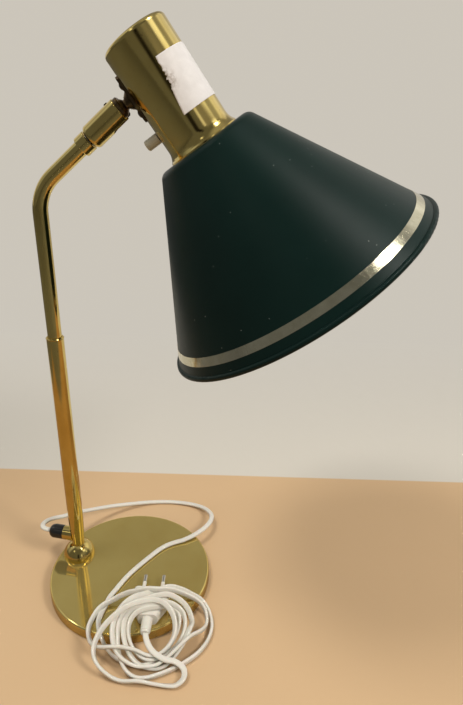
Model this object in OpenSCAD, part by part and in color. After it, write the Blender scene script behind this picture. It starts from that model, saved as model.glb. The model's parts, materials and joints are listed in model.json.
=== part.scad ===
// Adjustable brass desk lamp with a conical metal shade.
// Origin: middle of the foot, on the surface the lamp stands on. +Z is up, and at rest the arm
// reaches out along +X.

/* [Foot] */
// Diameter of the round foot
foot_d = 166; // [152:1:185]
// Height of the foot, pad included
foot_h = 12; // [11.5:0.5:16]
// Thickness of the spun brass cover
cover_wall = 1.2; // [0.8:0.1:1.6]
// Rounding of the cover's top edge
cover_round = 2.2; // [1.7:0.1:3.5]
// Thickness of the felt pad under the foot
pad_h = 1.6; // [1:0.1:2.5]

/* [Dome and stem's place] */
// Diameter of the half ball that carries the stem
dome_d = 33; // [31:0.5:36]
// Distance of the stem from the middle of the foot
stem_reach = 63; // [56:0.5:64]
// Direction of the stem from the middle of the foot, seen from above
stem_bearing = 162.4; // [150:0.2:200]

/* [Mains outlet] */
// Height of the outlet's middle above the foot
outlet_rise = 26.5; // [26:0.5:32]
// Direction in which the outlet leaves the stem, seen from above
outlet_bearing = 170; // [150:1:200]
// Outside diameter of the outlet's tube
outlet_tube_d = 8.4; // [8.2:0.1:9]
// Diameter of the brass collar between stem and bush
outlet_collar_d = 15; // [14.6:0.1:16]
// Diameter of the black bush that the lead leaves through
bush_d = 14.8; // [14:0.1:14.9]
// Length of the black bush
bush_len = 16.4; // [15:0.2:20]

/* [Stem] */
// Outside diameter of the lower tube
stem_d = 15.5; // [15.3:0.1:16]
// Wall of both brass tubes
tube_wall = 0.75; // [0.6:0.05:0.8]
// Outside diameter of the upper, sliding tube
arm_d = 12.5; // [12.2:0.1:12.7]
// Height of the lower tube's top end above the surface
stem_top = 267; // [250:0.5:275]
// Height at which the tapered lower end reaches full size
taper_top = 68.5; // [62:0.5:76]

/* [Arm] */
// Height of the point where the two straight runs of the upper tube would meet
corner_z = 396; // [390:0.5:410]
// Slope of the arm above level, in degrees
arm_rise = 41.5; // [38:0.5:45]
// Radius of the bend, to the middle of the tube
bend_radius = 40; // [32:1:48]
// Length of upper tube hidden inside the lower tube
tube_overlap = 102; // [95:1:110]
// Distance along the arm from the corner to the middle of the swivel ball
arm_reach = 92.5; // [90:0.5:100]
// Diameter of the collar at the end of the arm
arm_collar_d = 16.4; // [15.6:0.1:17]

/* [Knuckle] */
// Outside diameter of the socket sleeve
sleeve_d = 19.2; // [18.4:0.1:19.8]
// Diameter of the swivel ball
swivel_d = 15; // [14.6:0.1:15.2]
// Diameter of the neck between the ball and the ribbed nut
neck_d = 8; // [7:0.1:8.2]
// Width of the slot in the underside of the sleeve
slot_w = 8.8; // [8.6:0.1:9.4]
// Diameter of the ribbed nut where it meets the plate
ribbed_nut_d = 14.8; // [14:0.2:15.6]
// Slope of the stud above level, in degrees
head_lean = 36; // [33:0.5:40]
// Distance from the middle of the swivel ball to the housing
knuckle_gap = 13.05; // [12.7:0.05:15]

/* [Bracket] */
// Length of the dark plate between knuckle and housing
plate_l = 37; // [34:0.5:42]
// Width of the plate
plate_w = 12; // [11:0.5:14]
// Distance of each bracket screw from the stud
plate_screw_reach = 11.4; // [11:0.1:13]

/* [Housing] */
// Outside diameter of the brass lampholder housing
housing_d = 53.5; // [52.5:0.1:54]
// Wall of the housing
housing_wall = 0.8; // [0.6:0.1:1]
// Height of the housing's closed end above the stud
housing_up = 33.6; // [30:0.1:40]
// Depth of the housing's flange below the stud
housing_down = 55.3; // [54:0.1:58]
// Diameter of the flange that meets the shade
flange_d = 60; // [58:0.5:64]
// Depth of the switch knob's middle below the stud
switch_drop = 32.5; // [31:0.5:33]
// Diameter of the switch knob
knob_d = 8.6; // [8:0.1:10]
// Length of the switch knob outside the housing
knob_len = 12; // [10:0.5:15]

/* [Shade] */
// Sheet thickness of the shade
shade_wall = 0.8; // [0.6:0.1:1.2]
// Radius of the flat top of the shade
shade_top_r = 36.7; // [35:0.1:40]
// Radius of the rounded shoulder
shoulder_r = 8; // [5:0.5:11]
// Angle between the shade's side and its axis
shade_angle = 31.5; // [28:0.5:34]
// Slant length of the shade's straight side
shade_slant = 154.9; // [145:0.1:165]
// Radius of the rolled bead at the rim
bead_r = 2.2; // [1.6:0.1:2.8]
// Width of the gold stripe
stripe_w = 7.3; // [5:0.1:10]
// Distance along the side from the stripe to the bead
stripe_inset = 7.5; // [5:0.1:14]

/* [Lampholder and bulb] */
// Outside diameter of the lampholder
holder_d = 37; // [36:0.5:38]
// Diameter of the bulb's screw cap
bulb_cap_d = 26.2; // [26:0.1:26.4]
// Largest diameter of the bulb
bulb_d = 60; // [50:1:62]
// Length of the bulb's glass below its cap
bulb_l = 82; // [76:1:88]

/* [Mains lead] */
// Width of the flat twin lead
lead_w = 5.6; // [5.2:0.1:6]
// Thickness of the flat twin lead
lead_t = 3.2; // [3:0.1:3.2]
// Width of the plug's body
plug_w = 35.4; // [34:0.1:37]
// Thickness of the plug's body
plug_t = 13.7; // [13:0.1:13.8]
// Length of the plug's body
plug_l = 35; // [32:0.5:36]
// Diameter of the plug's pins
pin_d = 4; // [3.9:0.1:4]
// Length of the plug's pins
pin_l = 19; // [18:0.5:20]
// Spacing of the plug's pins
pin_gap = 18.6; // [17:0.1:19]

/* [Hidden] */
$fn = 64;

// Clearances: a running fit, a gap between parts that move past each other, and a sheet-metal gap
fit = 0.05;
gap = 0.3;
ease = 0.1;
// Overlap of a straight stretch with the bend of the same tube, and what the bend is drawn in by
weld = 0.1;
draw_in = 0.02;

brass = "#a8925a";
steel = "#8a8a86";
bronze = "#4a3c28";
black = "#17161a";
white = "#e9e7df";
green = "#0f2f28";
ivory = "#c9c4b0";
nylon = "#e4e0d0";

foot_r = foot_d / 2;
dome_r = dome_d / 2;
stem_x = stem_reach * cos(stem_bearing);
stem_y = stem_reach * sin(stem_bearing);
stem_r = stem_d / 2;
stem_bore_r = stem_r - tube_wall;
arm_r = arm_d / 2;
arm_bore_r = arm_r - tube_wall;

// Small screws, and the width of the slots in their heads
screw_r = 1.5;
screw_slot_w = 0.6;

// Dome: flat top that the stem stands on, and the bolt that holds foot, dome and stem together
dome_top_r = 6.6;
stem_bottom = foot_h + sqrt(pow(dome_r, 2) - pow(dome_top_r, 2));
bolt_r = 3;
bolt_head_r = 6;
bolt_head_h = 4;
washer_h = 1.2;
stem_plug_l = 6;
bolt_top = stem_bottom + stem_plug_l - 0.5;
flex_r = 2.5;
flex_turn = 6;
flex_rise = 40;

// Outlet: distances out from the stem's axis
outlet_z = foot_h + outlet_rise;
outlet_way = [cos(outlet_bearing), sin(outlet_bearing), 0];
outlet_tube_r = outlet_tube_d / 2;
outlet_bore_r = 3.4;
outlet_tube_from = 4.6;
collar_start = 4;
bush_start = 15;
bush_spigot = 5;
bush_end = bush_start + bush_len;
bush_nose = 6.2;
cord_exit = [stem_x, stem_y, outlet_z] + outlet_way * bush_end;

// Stem: tapered end and top
neck_r = 6.45;
neck_top = stem_bottom + 3;
lip_h = 2.6;
lip_r = stem_r + 0.35;
liner_len = 26;

// Arm: tangent length of the bend, and stations along the arm
bend_angle = 90 - arm_rise;
bend_tangent = bend_radius * tan(bend_angle / 2);
bend_z = corner_z - bend_tangent;
arm_bottom = stem_top - tube_overlap;
guide_len = 14;
sleeve_back = 31.8;
sleeve_from = arm_reach - sleeve_back;
collar_to = sleeve_from - 1;
collar_from = collar_to - 9;
tube_end = collar_to - 2;
sleeve_to = arm_reach + 1;
spindle_r = 5;
spindle_hole_r = 2.9;
spindle_to = sleeve_from + 12.5;
sleeve_floor = 8;
sleeve_r = sleeve_d / 2;
sleeve_round = 3;
swivel_r = swivel_d / 2;
sleeve_bore_r = swivel_r + ease;
mouth_to = arm_reach + 4.3;
cup_back = arm_reach - 7;
slot_len = 15;

// Knuckle and head frames
knuckle = [stem_x, stem_y, corner_z] + arm_reach * [cos(arm_rise), 0, sin(arm_rise)];
neck_r_stud = neck_d / 2;
housing_r = housing_d / 2;
housing_bore_r = housing_r - housing_wall;
stud_reach = knuckle_gap + housing_r;
plate_thickness = 1.2;
plate_face = knuckle_gap - plate_thickness;
ribbed_nut_r = ribbed_nut_d / 2;
ribbed_nut_h = 3.6;
ribbed_nut_ribs = 4;
ribbed_nut_end_r = 5.2;
nut_face = plate_face - ease;
stud_r = 3;
stud_hole_r = 1.6;
stud_end = stud_reach - housing_bore_r + 7;
stud_nut_r = 5.2;
flange_r = flange_d / 2;
housing_round = 3.5;
flare_h = 9;
flange_lip = 1;

// Shade
holder_r = holder_d / 2;
shade_top_z = -housing_down;
shade_hole_r = holder_r + 0.4;
cone_in = sin(shade_angle);
cone_down = cos(shade_angle);
cone_r = shade_top_r + shoulder_r * cone_down;
cone_z = shade_top_z - shoulder_r + shoulder_r * cone_in;
rim_r = cone_r + shade_slant * cone_in;
rim_z = cone_z - shade_slant * cone_down;
stripe_t = 0.2;
stripe_gap = 0.02;

// Lampholder: heights are below the stud
bridge_z = -14;
bridge_h = 2;
bridge_w = 14;
nipple_r = 5;
nipple_hole_r = 3.2;
cap_top = -40.5;
cap_h = 5.5;
holder_top = cap_top - cap_h;
holder_bottom = -79;
holder_bore_r = bulb_cap_d / 2 + 1.2;
holder_shoulder_r = holder_r + 3;
holder_shoulder_h = 4;
shell_t = 0.5;
ring_r = 27.5;
ring_h = 6;
contact_z = holder_top - 5;
bulb_cap_r = bulb_cap_d / 2;
bulb_cap_top = contact_z - 2;
bulb_cap_len = 25;
bulb_r = bulb_d / 2;

// Switch
switch_r = 6;
switch_depth = 11;
switch_shaft_r = 2;
switch_hole_r = switch_shaft_r + fit;
knob_r = knob_d / 2;

// Plug, lying on the foot
plug_x = 28.2;
plug_face_y = -35;
plug_z = foot_h + plug_t / 2;
plug_neck_l = 15;
plug_neck_r = 4.7;
sleeve_part = 9.5;
pin_sleeve_r = 1.9;
socket_depth = 3;

// Route of the lead from the bush to the coil, and from the coil to the plug
lead_route = concat([cord_exit, cord_exit + outlet_way * 4], [
  [-99.6, 27.6, 38.3], [-102, 33, 37.7], [-100.5, 39.5, 36.8], [-95, 45.5, 35.7],
  [-86, 52, 33.5], [-77, 62, 29.6], [-67, 73, 24.3], [-56, 84.5, 18.4], [-41, 97, 12.4],
  [-23, 108, 7], [-4, 116.5, 3.2], [15, 120.5, 1.9], [34.4, 120.6, 1.9], [54, 116.8, 2.8],
  [69.8, 108.3, 5.2], [78.8, 96.8, 8.2], [82.1, 85.3, 11], [80.5, 72.8, 13.4], [74.3, 61.6, 15.1],
  [64.5, 51.5, 15.5], [51.3, 44.3, 14.4], [39.7, 40.2, 13.8], [29.8, 36.4, 13.7],
  [21.5, 29.8, 13.7], [12.4, 18.2, 13.7], [4.8, 4.8, 13.7], [-2.1, -9.5, 13.7],
  [-7.6, -22.3, 13.7], [-12, -35, 14.1], [-14.6, -43, 15]
]);
tail_route = [
  [plug_x, plug_face_y - plug_l - plug_neck_l, plug_z], [28.8, -88.6, 15.8], [31, -93.4, 11.8],
  [35, -97.2, 8.4], [40.2, -100, 6.5]
];

// The hand-wound coil lies half on the foot and half in front of it, over the plug
coil_x = 31;
coil_y = -77;
coil_rx = 49;
coil_ry = 35.5;
coil_w = 20;
coil_h = 10;
coil_steps = 40;
edge_start = foot_r + 12;
edge_run = 24;

function unit(v) = v / norm(v);
function arc(x, y, r, from, to, n) =
  [for (i = [0:n]) let (a = from + (to - from) * i / n) [x + r * cos(a), y + r * sin(a)]];
function ease_in(t) = let (c = min(max(t, 0), 1)) c * c * (3 - 2 * c);
function bend_point(a, b, c, d, t) =
  (2 * b + (c - a) * t + (2 * a - 5 * b + 4 * c - d) * t * t + (3 * b - a - 3 * c + d) * t * t * t) / 2;
function smooth_path(p, n) = let (last = len(p) - 1) concat(
  [for (i = [0:last - 1]) for (k = [0:n - 1])
    bend_point(p[max(i - 1, 0)], p[i], p[i + 1], p[min(i + 2, last)], k / n)],
  [p[last]]);
function path_way(p, i) = unit(p[min(i + 1, len(p) - 1)] - p[max(i - 1, 0)]);
function ring_of(at, way, w, h, sides, top) =
  let (side = unit(cross(top, way)), up = cross(way, side))
  [for (k = [0:sides - 1]) let (a = 360 * k / sides)
    at + side * w / 2 * cos(a) + up * h / 2 * sin(a)];

// Height of whatever lies under the coil at one place
function under_coil(x, y) =
  let (foot = foot_h * (1 - ease_in((norm([x, y]) - edge_start) / edge_run)),
    over = 1 - ease_in((abs(x - plug_x) - plug_w / 2 - coil_w / 2) / 16),
    plug = y > plug_face_y - plug_l - coil_w / 2 ? (foot_h + plug_t) * over : 0)
  max(foot, plug);
function coil_at(a) =
  let (x = coil_x + coil_rx * cos(a), y = coil_y + coil_ry * sin(a))
  [x, y, under_coil(x, y) + coil_h / 2 + gap];

// A tube swept along a path, closed by flat ends
module swept(path, w, h, top = [0, 0, 1], sides = 8) {
  n = len(path);
  points = [for (i = [0:n - 1]) each ring_of(path[i], path_way(path, i), w, h, sides, top)];
  sides_of = [for (i = [0:n - 2]) for (k = [0:sides - 1])
    [i * sides + k, i * sides + (k + 1) % sides,
      (i + 1) * sides + (k + 1) % sides, (i + 1) * sides + k]];
  first = [[for (k = [sides - 1:-1:0]) k]];
  last = [[for (k = [0:sides - 1]) (n - 1) * sides + k]];
  polyhedron(points, concat(sides_of, first, last), convexity = 10);
}

// A ring swept along a closed path
module swept_ring(path, w, h, sides = 8) {
  n = len(path);
  points = [for (i = [0:n - 1])
    each ring_of(path[i], unit(path[(i + 1) % n] - path[(i + n - 1) % n]), w, h, sides, [0, 0, 1])];
  faces = [for (i = [0:n - 1]) for (k = [0:sides - 1])
    [i * sides + k, i * sides + (k + 1) % sides,
      ((i + 1) % n) * sides + (k + 1) % sides, ((i + 1) % n) * sides + k]];
  polyhedron(points, faces, convexity = 10);
}

module pipe(r, bore, from, to) {
  translate([0, 0, from]) difference() {
    cylinder(h = to - from, r = r);
    translate([0, 0, -1]) cylinder(h = to - from + 2, r = bore);
  }
}

// Section of a bend: the wall draws in a little on both faces
module tube_section(r, bore) {
  difference() {
    circle(r = r - draw_in);
    circle(r = bore + draw_in);
  }
}

module at_stem() { translate([stem_x, stem_y, 0]) children(); }
module at_outlet() {
  translate([stem_x, stem_y, outlet_z]) rotate([0, 90, outlet_bearing]) children();
}
module at_arm() { translate([stem_x, stem_y, corner_z]) rotate([0, 90 - arm_rise, 0]) children(); }
module at_stud() { translate(knuckle) rotate([0, 90 - head_lean, 0]) children(); }
module at_head() {
  translate(knuckle) rotate([0, -head_lean, 0]) translate([stud_reach, 0, 0]) children();
}

// ---- Foot ----
module foot_cover() {
  color(brass) difference() {
    rotate_extrude($fn = 180) polygon(concat(
      [[0, foot_h]],
      arc(foot_r - cover_round, foot_h - cover_round, cover_round, 90, 0, 6),
      [[foot_r, pad_h / 2], [foot_r - cover_wall, pad_h / 2]],
      arc(foot_r - cover_round, foot_h - cover_round, cover_round - cover_wall, 0, 90, 3),
      [[0, foot_h - cover_wall]]));
    at_stem() translate([0, 0, foot_h - cover_wall - 1]) cylinder(h = cover_wall + 2, r = bolt_r + ease);
  }
}

module ballast() {
  color(steel) difference() {
    translate([0, 0, pad_h]) rotate_extrude($fn = 180) polygon([
      [0, 0], [foot_r - cover_wall - gap, 0],
      [foot_r - cover_wall - gap, foot_h - pad_h - cover_round - cover_wall],
      [foot_r - cover_round - cover_wall, foot_h - pad_h - cover_wall],
      [0, foot_h - pad_h - cover_wall]]);
    at_stem() cylinder(h = foot_h, r = bolt_r + ease);
    at_stem() cylinder(h = pad_h + bolt_head_h + washer_h, r = bolt_head_r + gap);
  }
}

module foot_pad() {
  color("#2a2826") difference() {
    cylinder(h = pad_h, r = foot_r - cover_wall - gap, $fn = 180);
    at_stem() translate([0, 0, -1]) cylinder(h = pad_h + 2, r = bolt_head_r + gap);
  }
}

// ---- Dome and what bolts it down ----
module dome_fitting() {
  color(brass) at_stem() difference() {
    translate([0, 0, foot_h]) sphere(r = dome_r, $fn = 96);
    translate([0, 0, foot_h - dome_d]) cylinder(h = dome_d, r = dome_d);
    translate([0, 0, stem_bottom]) cylinder(h = dome_d, r = dome_d);
    translate([0, 0, foot_h - 1]) cylinder(h = dome_d, r = bolt_r + fit);
  }
}
module cylinder_from(from, to, r) { translate([0, 0, from]) cylinder(h = to - from, r = r); }
module foot_bolt() {
  color(steel) at_stem() difference() {
    union() {
      translate([0, 0, pad_h]) cylinder(h = bolt_head_h, r = bolt_head_r);
      cylinder_from(pad_h, bolt_top, bolt_r);
    }
    translate([0, 0, pad_h - 1]) cylinder(h = 3.5, r = 2.9, $fn = 6);
  }
}
module bolt_washer() {
  washer_z = pad_h + bolt_head_h;
  color(steel) at_stem() pipe(bolt_head_r - 0.2, bolt_r + ease, washer_z, washer_z + washer_h);
}

// ---- Mains outlet, on the side of the stem ----
module outlet_tube() {
  color(brass) at_outlet() pipe(outlet_tube_r, outlet_bore_r, outlet_tube_from, bush_start);
}
module outlet_collar() {
  low = outlet_z - outlet_collar_d;
  high = outlet_z + outlet_collar_d;
  color(brass) difference() {
    at_outlet() rotate_extrude() polygon(concat(
      [[outlet_tube_r + fit, collar_start], [outlet_collar_d / 2, collar_start]],
      arc(outlet_collar_d / 2 - 0.6, bush_start - 0.6, 0.6, 0, 90, 3),
      [[outlet_tube_r + fit, bush_start]]));
    at_stem() translate([0, 0, low])
      cylinder(h = high - low, r1 = stem_outer(low) + ease, r2 = stem_outer(high) + ease);
  }
}
module cord_bush() {
  color(black) at_outlet() difference() {
    union() {
      rotate_extrude() polygon(concat(
        [[0, bush_start], [bush_d / 2, bush_start]],
        arc(bush_d / 2 - bush_nose, bush_end - bush_nose, bush_nose, 0, 90, 8),
        [[0, bush_end]]));
      cylinder_from(bush_start - bush_spigot, bush_start, outlet_bore_r - fit);
    }
    cylinder_from(bush_start - bush_spigot - 1, bush_end - 3, flex_r + ease);
  }
}
module foot_flex() {
  middle = [stem_x, stem_y, outlet_z];
  color(white) swept(concat(
    [for (z = [stem_bottom + flex_rise, outlet_z + 2 * flex_turn, outlet_z + flex_turn])
      [stem_x, stem_y, z]],
    [for (a = [15:15:75])
      middle + outlet_way * flex_turn * (1 - cos(a)) + [0, 0, flex_turn * (1 - sin(a))]],
    [middle + outlet_way * flex_turn, middle + outlet_way * (bush_end - 3.2)]),
    2 * flex_r, 2 * flex_r, [-outlet_way[1], outlet_way[0], 0]);
}

// ---- Free mains lead and plug ----
module cord_lead() { color(white) swept(smooth_path(lead_route, 2), lead_w, lead_t); }
module cord_tail() { color(white) swept(smooth_path(tail_route, 2), lead_w, lead_t); }
module cord_coil() {
  ring = [for (i = [0:coil_steps - 1]) coil_at(360 * i / coil_steps)];
  color(white) swept_ring(ring, coil_w, coil_h);
}
module at_plug() { translate([plug_x, plug_face_y, plug_z]) children(); }
module plug_body() {
  edge = 4.5;
  color(white) at_plug() difference() {
    union() {
      hull() {
        for (x = [-1, 1]) {
          translate([x * (plug_w / 2 - edge), -1.5, 0]) rotate([90, 0, 0]) plug_end(edge);
          translate([x * (plug_w / 2 - edge - 0.5), -plug_l * 0.55, 0]) rotate([90, 0, 0])
            plug_end(edge);
          translate([x * 4.5, -plug_l + 1, 0]) rotate([90, 0, 0]) plug_end(edge);
        }
      }
      translate([0, 2 - plug_l, 0]) rotate([90, 0, 0])
        cylinder(h = plug_neck_l, r1 = 5.4, r2 = plug_neck_r, $fn = 32);
      translate([0, -plug_l - plug_neck_l + 2, 0]) rotate([90, 0, 0])
        cylinder(h = 2, r1 = plug_neck_r - 0.4, r2 = plug_neck_r - 1, $fn = 32);
    }
    for (x = [-1, 1]) translate([x * pin_gap / 2, -socket_depth - 8, 0]) rotate([-90, 0, 0])
      cylinder(h = socket_depth + 9, r = pin_d / 2 + fit);
    translate([-plug_w, 0, -plug_t]) cube([plug_w * 2, 8, plug_t * 2]);
  }
}
module plug_end(edge) {
  for (y = [-1, 1]) translate([0, y * (plug_t / 2 - edge), 0]) cylinder(h = 1, r = edge, $fn = 24);
}
module at_pins() {
  for (x = [-1, 1]) at_plug() translate([x * pin_gap / 2, 0, 0]) rotate([-90, 0, 0]) children();
}
module plug_pins() {
  color(steel) at_pins() union() {
    cylinder_from(-socket_depth - 7.5, sleeve_part, pin_sleeve_r - 0.4);
    cylinder_from(sleeve_part, pin_l - 1, pin_d / 2);
    translate([0, 0, pin_l - 1]) cylinder(h = 1, r1 = pin_d / 2, r2 = pin_d / 2 - 0.8);
  }
}
module pin_sleeves() {
  color(white) at_pins() pipe(pin_sleeve_r, pin_sleeve_r - 0.4 + fit / 2, -socket_depth, sleeve_part);
}

// ---- Stem ----
function stem_outer(z) = neck_r
  + (stem_r - neck_r) * sin(90 * min(max((z - neck_top) / (taper_top - neck_top), 0), 1));
module stem_tube() {
  span = (taper_top - neck_top) / 8;
  outer = [for (i = [0:8]) let (z = neck_top + span * i) [stem_outer(z), z]];
  inner = [for (i = [8:-1:0]) outer[i] - [tube_wall, 0]];
  color(brass) difference() {
    at_stem() rotate_extrude($fn = 96) polygon(concat(
      [[neck_r - tube_wall, stem_bottom], [neck_r, stem_bottom]], outer,
      [[stem_r, stem_top], [stem_bore_r, stem_top]], inner));
    at_outlet() cylinder(h = stem_d, r = outlet_tube_r + fit);
  }
}
module stem_lip() {
  color(brass) at_stem() rotate_extrude() polygon(concat(
    [[arm_r + ease, stem_top]],
    arc(lip_r - lip_h / 4, stem_top + lip_h / 4, lip_h / 4, -90, 90, 6),
    arc(arm_r + ease + lip_h / 4, stem_top + lip_h / 2, lip_h / 4, 90, 180, 4)));
}
module stem_liner() {
  color(nylon) at_stem() pipe(stem_bore_r - fit, arm_r + fit, stem_top - liner_len, stem_top);
}
module stem_plug() {
  color(steel) at_stem()
    pipe(neck_r - tube_wall - fit, bolt_r + fit, stem_bottom, stem_bottom + stem_plug_l);
}

// ---- Sliding arm ----
module arm_tube() {
  color(brass) union() {
    at_stem() pipe(arm_r, arm_bore_r, arm_bottom, bend_z + weld);
    translate([stem_x + bend_radius, stem_y, bend_z]) rotate([90, 0, 180])
      rotate_extrude(angle = bend_angle, $fn = 96) translate([bend_radius, 0])
        tube_section(arm_r, arm_bore_r);
    at_arm() pipe(arm_r, arm_bore_r, bend_tangent - weld, tube_end);
  }
}
module tube_guide() {
  color(nylon) at_stem() union() {
    pipe(stem_bore_r - fit, arm_r + fit, arm_bottom, arm_bottom + guide_len);
    pipe(stem_bore_r - fit, arm_bore_r - 0.6, arm_bottom - 2, arm_bottom);
  }
}
module arm_collar() {
  color(brass) at_arm() rotate_extrude() polygon(concat(
    [[arm_r + fit, collar_from]],
    arc(arm_collar_d / 2 - 0.7, collar_from + 0.7, 0.7, -90, 0, 3),
    arc(arm_collar_d / 2 - 0.5, collar_to - 0.5, 0.5, 0, 90, 3),
    [[spindle_r + 1, collar_to], [spindle_r + 1, tube_end + fit], [arm_r + fit, tube_end + fit]]));
}
module arm_spindle() {
  groove_z = sleeve_from + sleeve_floor + gap;
  color(steel) at_arm() difference() {
    union() {
      cylinder_from(tube_end - 14, tube_end, arm_bore_r - fit);
      cylinder_from(tube_end, collar_to - 0.2, spindle_r + 1 - fit);
      cylinder_from(collar_to - 0.2, spindle_to, spindle_r);
    }
    cylinder_from(tube_end - 15, spindle_to + 1, spindle_hole_r);
    pipe(spindle_r + 1, spindle_r - 0.6, groove_z, groove_z + 1.3);
  }
}
module spindle_clip() {
  clip_z = sleeve_from + sleeve_floor + gap + 0.1;
  color(steel) at_arm() difference() {
    pipe(spindle_r + 1.5, spindle_r - 0.6 + fit, clip_z, clip_z + 1);
    translate([0, -2, clip_z - 1]) cube([20, 4, 3]);
  }
}
module arm_flex() {
  route = concat(
    [[stem_x, stem_y, arm_bottom + 22], [stem_x, stem_y, bend_z]],
    [for (a = [bend_angle / 6:bend_angle / 6:bend_angle - 0.1])
      [stem_x + bend_radius * (1 - cos(a)), stem_y, bend_z + bend_radius * sin(a)]],
    [for (d = [bend_tangent, spindle_to + 1])
      [stem_x + d * cos(arm_rise), stem_y, corner_z + d * sin(arm_rise)]]);
  color(white) swept(route, 2 * flex_r, 2 * flex_r, [0, 1, 0]);
}

// ---- Socket sleeve of the knuckle ----
module slot_cut(from, extra) {
  translate([-sleeve_d, 0, from]) {
    translate([0, -slot_w / 2, 0]) cube([sleeve_d, slot_w, extra]);
    rotate([0, 90, 0]) cylinder(h = sleeve_d, r = slot_w / 2);
  }
}
module underside() { rotate([0, 0, 180]) children(); }
module socket_sleeve() {
  color(brass) at_arm() difference() {
    rotate_extrude($fn = 96) polygon(concat(
      [[spindle_r + fit, sleeve_from], [arm_collar_d / 2 - 0.5, sleeve_from]],
      arc(sleeve_r - sleeve_round, sleeve_from + sleeve_round, sleeve_round, -60, 0, 5),
      arc(sleeve_r - 1, sleeve_to - 1, 1, 0, 90, 4),
      [[sleeve_bore_r, sleeve_to], [sleeve_bore_r, sleeve_from + sleeve_floor],
        [spindle_r + fit, sleeve_from + sleeve_floor]]));
    underside() slot_cut(arm_reach - slot_len + slot_w / 2, sleeve_back);
    sleeve_screw_at() cylinder(h = sleeve_d, r = screw_r + fit);
  }
}
module sleeve_screw_at() {
  translate([0.5 - sleeve_bore_r, 0, cup_back + 1.6]) rotate([0, -90, 0]) children();
}
module sleeve_screw() {
  color(black) at_arm() sleeve_screw_at() difference() {
    cylinder_from(0.6, sleeve_r - sleeve_bore_r + 1.1, screw_r);
    translate([-2, -screw_slot_w / 2, sleeve_r - sleeve_bore_r + 0.5]) cube([4, screw_slot_w, 2]);
  }
}
module mouth_ring() {
  ring_out = sleeve_r - 0.9;
  color(black) at_arm() difference() {
    rotate_extrude() polygon([[3, sleeve_to], [ring_out, sleeve_to], [ring_out, mouth_to - 1],
      [ring_out - 1, mouth_to], [3, mouth_to]]);
    translate([0, 0, arm_reach]) sphere(r = swivel_r + ease);
    underside() slot_cut(arm_reach, sleeve_back);
    translate([0, 0, mouth_to - 1.2]) cylinder(h = 2, r1 = 5.9, r2 = 7);
  }
}
module ball_cup() {
  color(nylon) at_arm() difference() {
    cylinder_from(cup_back - 1.8, arm_reach - 2.2, sleeve_bore_r - fit);
    translate([0, 0, arm_reach]) sphere(r = swivel_r + ease);
    cylinder_from(cup_back - 3, arm_reach, spindle_hole_r);
    underside() slot_cut(arm_reach - slot_len + slot_w / 2 + 3, sleeve_back);
  }
}
module cup_springs() {
  count = 3;
  step = 0.95;
  color(steel) at_arm() for (i = [1:count]) translate([0, 0, cup_back - 1.8 - i * step])
    pipe(sleeve_bore_r - 0.3, spindle_r + 0.3, 0.1, 0.8);
}

// ---- Swivel ball and stud ----
module swivel_ball() {
  color(bronze) at_stud() difference() {
    union() {
      sphere(r = swivel_r, $fn = 96);
      cylinder_from(0, nut_face - ribbed_nut_h, neck_r_stud);
      cylinder_from(0, stud_end, stud_r);
    }
    cylinder_from(-swivel_d, stud_end + 1, stud_hole_r);
    translate([0, 0, -swivel_r - 0.1]) cylinder(h = 3.5, r1 = 4.6, r2 = stud_hole_r);
  }
}
module ribbed_nut() {
  from = nut_face - ribbed_nut_h;
  rib = ribbed_nut_h / ribbed_nut_ribs;
  widening = (ribbed_nut_r - ribbed_nut_end_r) / (ribbed_nut_ribs - 1);
  color(bronze) at_stud() difference() {
    union() {
      for (i = [0:ribbed_nut_ribs - 1])
        cylinder_from(from + i * rib, from + (i + 0.62) * rib, ribbed_nut_end_r + i * widening);
      cylinder_from(from, nut_face, ribbed_nut_end_r - 0.6);
    }
    cylinder_from(from - 1, nut_face + 1, stud_r + fit);
  }
}
module stud_nut() {
  from = stud_reach - sqrt(pow(housing_bore_r, 2) - pow(stud_nut_r, 2)) + gap;
  color(steel) at_stud() difference() {
    cylinder_from(from, from + 4, stud_nut_r, $fn = 6);
    cylinder_from(from - 1, from + 5, stud_r + fit);
  }
}

// ---- Head: bracket, housing and what it holds ----
module bracket_plate() {
  color(bronze) at_head() difference() {
    translate([-housing_r - plate_thickness, -plate_w / 2, -plate_l / 2])
      cube([plate_thickness + 2, plate_w, plate_l]);
    translate([0, 0, -plate_l]) cylinder(h = plate_l * 2, r = housing_r + 0.02, $fn = 128);
    stud_way() cylinder(h = housing_d, r = stud_r + fit);
    screw_ways() cylinder(h = housing_d, r = screw_r + fit);
    for (y = [-1, 1]) for (z = [-1, 1]) translate([-housing_r, y * plate_w / 2, z * plate_l / 2])
      rotate([45, 0, 0]) cube([housing_d, 3, 3], center = true);
  }
}
module stud_way() { rotate([0, -90, 0]) children(); }
module screw_ways() {
  for (z = [-1, 1]) translate([0, 0, z * plate_screw_reach]) rotate([0, -90, 0]) children();
}
module bracket_screws() {
  head_from = housing_r + plate_thickness;
  color(bronze) at_head() screw_ways() difference() {
    union() {
      cylinder_from(housing_bore_r - 3, head_from, screw_r);
      translate([0, 0, head_from]) cylinder(h = 0.9, r = 2.9);
      translate([0, 0, head_from + 0.9]) cylinder(h = 0.8, r1 = 2.9, r2 = 1.7);
    }
    translate([-3, -screw_slot_w / 2, head_from + 1]) cube([6, screw_slot_w, 2]);
  }
}
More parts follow.
